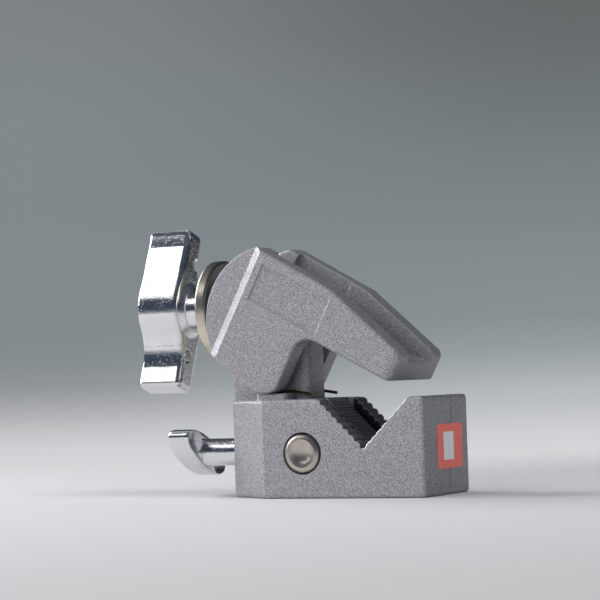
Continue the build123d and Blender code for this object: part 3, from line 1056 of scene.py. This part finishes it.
class HandleScrew(Group):
    """Wing handle on its threaded bolt, with both retaining rings. Lengths are in millimetres."""

    wing = Buffed("polished_chrome", tone(231, 231, 232), roughness=0.13, wave=0.06)
    thread: Range = (-33.5, 14.7)
    chamfer: float = 0.4
    grub_groove_half: float = 2.0
    ring_groove_radius: float = 4.2

    def build(self) -> None:
        """Dress the handle and its rings, and put the cut thread on the bolt."""
        super().build()
        self.dress("wing_handle", Slot.POLISHED_CHROME, self.wing)
        bolt = ThreadedRod("clamp_bolt", self.thread, self.chamfer, Slot.BRIGHT_STEEL.value, self.grooves())
        self.add(bolt.build(), Slot.BRIGHT_STEEL, "clamp_bolt")

    def grooves(self) -> tuple[tuple[float, float, float], ...]:
        """Grooves of the bolt, from the boxes of what sits in them: two rings and the grub screw.

        Returns:
            Low end, high end and radius of each groove, in millimetres.
        """
        found = []
        for ring in ("washer_retaining_ring", "bolt_stop_ring"):
            low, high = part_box(ring)
            found.append((low.x / MM, high.x / MM, self.ring_groove_radius))
        low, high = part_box("handle_grub_screw")
        middle = (low.x + high.x) / 2 / MM
        found.append((middle - self.grub_groove_half, middle + self.grub_groove_half, low.y / MM))
        return tuple(found)


class StudLatch(Group):
    """Push button, its cross rod and the spring behind it. Lengths are in millimetres."""

    button = Dished("satin_nickel", tone(206, 197, 186), roughness=0.36)
    spring_seat: str = "base"
    travel: float = 5.0

    def build(self) -> None:
        """Dress the button and the rod, and put a pressed spring in the place of the spring's node."""
        super().build()
        self.dress("latch_button", Slot.SATIN_NICKEL, self.button)
        spring = PressedSpring("latch_spring", self.travel, Slot.SPRING_STEEL.value)
        stem_end, bore_end = (tuple(end * MM) for end in spring.ends())
        piece = spring.build()
        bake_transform(piece)
        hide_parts("latch_spring")
        LOG.info("%s bends between %s and %s", piece.name, self.spring_seat, self.body)


class LockScrew(Group):
    """Locking screw with its oval head and swivelling pad. Lengths are in millimetres."""

    thread: Range = (-22.6, -11.2)
    chamfer: float = 1.0
    pad_bore: tuple[float, float] = (2.05, 4.2)

    def build(self) -> None:
        """Dress the head and the pad, and put the cut thread on the screw."""
        super().build()
        stud = ThreadedRod("lock_screw_stud", self.thread, self.chamfer, Slot.POLISHED_CHROME.value,
                           bore=self.pad_bore)
        self.add(stud.build(), Slot.POLISHED_CHROME, "lock_screw_stud")


CLAMP = (
    Group("base", {"fixed_jaw": Slot.CAST_COAT, "jaw_spring": Slot.BRONZED_WIRE,
                   "latch_stop_pin": Slot.BRIGHT_STEEL, "end_label": Slot.LABEL}),
    Group("upper_jaw", {"moving_jaw": Slot.CAST_COAT}),
    HandleScrew("handle", {"handle_grub_screw": Slot.BLACK_STEEL, "washer_retaining_ring": Slot.SPRING_STEEL,
                           "bolt_stop_ring": Slot.SPRING_STEEL}),
    Group("washer", {"pressure_washer": Slot.NICKEL}),
    StudLatch("latch", {"latch_stem": Slot.BRIGHT_STEEL}),
    LockScrew("lock_screw", {"lock_screw_head": Slot.POLISHED_CHROME, "lock_screw_pad": Slot.BRASS}),
)


# Studio -------------------------------


# The backdrop and the far floor as the camera sees them: places on a ramp, and display red, green and blue.
FLOOR_LEFT: Ramp = (
    (0.016, 143, 148, 151), (0.077, 148, 153, 156), (0.147, 157, 161, 164), (0.238, 169, 170, 174),
    (0.327, 180, 181, 184), (0.413, 191, 192, 194), (0.5, 200, 201, 204), (0.58, 207, 208, 211), (0.74, 214, 215, 217))
FLOOR_RIGHT: Ramp = (
    (0.016, 165, 171, 174), (0.077, 171, 176, 179), (0.147, 178, 182, 185), (0.238, 183, 187, 190),
    (0.327, 187, 191, 194), (0.413, 195, 198, 201), (0.5, 202, 203, 207), (0.58, 207, 208, 211), (0.74, 213, 214, 216))
BACKDROP_LEFT: Ramp = (
    (0.0, 143, 148, 151), (0.04, 136, 142, 145), (0.12, 130, 138, 141), (0.46, 129, 137, 140),
    (0.70, 130, 137, 141), (1.0, 125, 130, 133))
BACKDROP_RIGHT: Ramp = (
    (0.0, 165, 171, 174), (0.05, 150, 158, 161), (0.14, 136, 144, 147), (0.25, 133, 141, 144),
    (0.46, 124, 132, 135), (0.67, 113, 120, 123), (0.88, 102, 107, 108), (1.0, 98, 103, 104))
ROOM: Ramp = (
    (0.0, 82, 92, 104), (0.10, 58, 68, 83), (0.45, 54, 64, 79), (0.60, 66, 74, 86), (1.0, 88, 94, 103))


@dataclass
class Softbox:
    """Rectangular lamp that the camera doesn't see: sizes in metres, angles in degrees, power in watts."""

    name: str
    azimuth: float
    elevation: float
    size: tuple[float, float]
    power: float
    colour: Colour = (1.0, 1.0, 1.0)
    glossy: bool = True
    distance: float = 1.0

    def build(self, target: Vector) -> None:
        """Place the lamp round a target.

        Args:
            target: Point that it faces, in metres.
        """
        lamp = bpy.data.lights.new(self.name, "AREA")
        lamp.shape = "RECTANGLE"
        lamp.size, lamp.size_y = self.size
        lamp.energy = self.power
        lamp.color = self.colour
        made = bpy.data.objects.new(self.name, lamp)
        bpy.context.collection.objects.link(made)
        turn, rise = math.radians(self.azimuth), math.radians(self.elevation)
        away = Vector((-math.sin(turn) * math.cos(rise), -math.cos(turn) * math.cos(rise), math.sin(rise)))
        made.location = target + away * self.distance
        made.rotation_euler = away.to_track_quat("Z", "Y").to_euler()
        made.visible_camera = False
        made.visible_glossy = self.glossy


@dataclass
class Studio:
    """Pale floor, backdrop, lamps and camera.

    Camera lengths are in millimetres and angles in degrees. Lengths of the floor and places of the backdrop are in
    metres: a range is where one tone goes over into the next, behind the clamp or from left to right.
    """

    azimuth: float = 27.03
    elevation: float = -1.80
    roll: float = -1.861
    distance: float = 858.23
    aim: Triple = (1.778, 0.0, 70.656)
    lens: float = 142.33
    sensor: float = 36.0
    clip: Range = (0.05, 200.0)
    floor_reach: float = 60.0
    paper: Colour = tone(201, 200, 202)
    paper_front: Colour = tone(184, 184, 184)
    front_shade: Range = (-0.08, -0.45)
    paper_grain: Noise = Noise(6.0, 4.0, 0.6)
    grains: Range = (0.3, 0.8)
    grain_cover: float = 0.06
    grain_colour: Colour = tone(186, 185, 188)
    far_floor: Range = (0.08, 0.40)
    eye_distance: float = 0.86
    left_to_right: Range = (-0.12, 0.12)
    backdrop_height: float = 0.16
    dark_corner_x: Range = (0.15, 0.5)
    dark_corner_y: Range = (0.2, 0.6)
    corner_cover: float = 0.85
    corner_colour: Colour = tone(42, 39, 38)
    lamp_target: Triple = (0.015, 0.0, 0.05)

    def camera(self) -> None:
        """Make the camera from its angles, roll, distance and aim."""
        turn, rise, roll = (math.radians(angle) for angle in (self.azimuth, self.elevation, self.roll))
        back = Vector((math.sin(turn) * math.cos(rise), -math.cos(turn) * math.cos(rise), math.sin(rise)))
        level = Vector((math.cos(turn), math.sin(turn), 0.0))
        above = back.cross(level)
        right = level * math.cos(roll) + above * math.sin(roll)
        up = above * math.cos(roll) - level * math.sin(roll)
        place = (Vector(self.aim) + back * self.distance) * MM
        data = bpy.data.cameras.new("camera")
        data.lens = self.lens
        data.sensor_width = self.sensor
        data.clip_start, data.clip_end = self.clip
        made = bpy.data.objects.new("camera", data)
        bpy.context.collection.objects.link(made)
        turned = Matrix((right, up, back)).transposed().to_4x4()
        made.matrix_world = Matrix.Translation(place) @ turned
        bpy.context.scene.camera = made

    def from_camera(self, across: Value, side: Value) -> tuple[Value, Value]:
        """Turn X and Y into the way behind the clamp and the way to the right, as the camera sees them.

        Args:
            across: X, of a place or a direction.
            side: Y.

        Returns:
            Both values.
        """
        turn = math.radians(self.azimuth)
        depth = side * math.cos(turn) - across * math.sin(turn)
        return depth, across * math.cos(turn) + side * math.sin(turn)

    def floor(self) -> None:
        """Make the pale floor, whose far part glows in the backdrop's tones."""
        mesh = bpy.data.meshes.new("floor")
        corners = [(across * self.floor_reach, side * self.floor_reach, 0)
                   for across, side in ((-1, -1), (1, -1), (1, 1), (-1, 1))]
        mesh.from_pydata(corners, [], [(0, 1, 2, 3)])
        made = bpy.data.objects.new("floor", mesh)
        bpy.context.collection.objects.link(made)
        paper = bpy.data.materials.new("floor_paper")
        paper.use_nodes = True
        graph = Graph(paper.node_tree)
        place = graph.place()
        across, side, _ = graph.axes(place)
        depth, sideways = self.from_camera(across, side)
        near_tone = graph.mix(depth.step(*self.front_shade), self.paper, self.paper_front)
        grains = graph.noise(place, self.paper_grain).step(*self.grains) * self.grain_cover
        matte = graph.add("ShaderNodeBsdfDiffuse", None, {"Color": graph.mix(grains, near_tone, self.grain_colour)})
        far = depth.most(0.0)
        near = 1 / (far + 1)
        spread = (sideways / (far + self.eye_distance)).step(*self.left_to_right)
        far_tone = graph.mix(spread, graph.ramp(near, FLOOR_LEFT), graph.ramp(near, FLOOR_RIGHT))
        glow = graph.add("ShaderNodeEmission", None, {"Color": far_tone})
        join = graph.add("ShaderNodeMixShader", None,
                         {0: depth.step(*self.far_floor), 1: matte.outputs[0], 2: glow.outputs[0]})
        graph.add("ShaderNodeOutputMaterial", None, {"Surface": join.outputs[0]})
        mesh.materials.append(paper)

    def world(self) -> None:
        """Paint the backdrop by direction: grey above the floor, and the dim studio for reflections."""
        world = bpy.data.worlds.new("studio")
        bpy.context.scene.world = world
        world.use_nodes = True
        graph = Graph(world.node_tree)
        across, side, rise = graph.axes(graph.add("ShaderNodeTexCoord").outputs["Generated"])
        _, sideways = self.from_camera(across, side)
        height = rise / self.backdrop_height
        backdrop = graph.mix(sideways.step(*self.left_to_right), graph.ramp(height, BACKDROP_LEFT),
                             graph.ramp(height, BACKDROP_RIGHT))
        corner = across.step(*self.dark_corner_x) * side.step(*self.dark_corner_y)
        dim = graph.mix(corner * self.corner_cover, graph.ramp(rise, ROOM), self.corner_colour)
        seen = Value(graph, graph.add("ShaderNodeLightPath").outputs["Is Camera Ray"])
        shade = graph.add("ShaderNodeBackground", None, {"Color": graph.mix(seen, dim, backdrop)})
        graph.add("ShaderNodeOutputWorld", None, {"Surface": shade.outputs[0]})

    def lamps(self) -> None:
        """Hang the softboxes."""
        for softbox in (
            Softbox("key", 94.0, 28.0, (0.78, 0.5), 11.9),
            Softbox("front", 14.0, 17.0, (0.8, 0.5), 6.2, glossy=False),
            Softbox("panel", 42.0, 43.0, (0.34, 0.36), 0.75),
            Softbox("right", -60.0, 53.0, (0.45, 0.45), 4.2, (0.97, 1.0, 0.995), False),
        ):
            softbox.build(Vector(self.lamp_target))

    def build(self) -> None:
        """Set up the view, the camera, the floor, the backdrop and the lamps."""
        bpy.context.scene.view_settings.view_transform = "Standard"
        self.camera()
        self.floor()
        self.world()
        self.lamps()


def main() -> None:
    """Build the studio and every sub-assembly in order."""
    logging.basicConfig(level=logging.INFO, format="%(name)s: %(message)s")
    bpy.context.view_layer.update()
    Studio().build()
    for group in CLAMP:
        group.build()


if __name__ == "__main__":
    main()
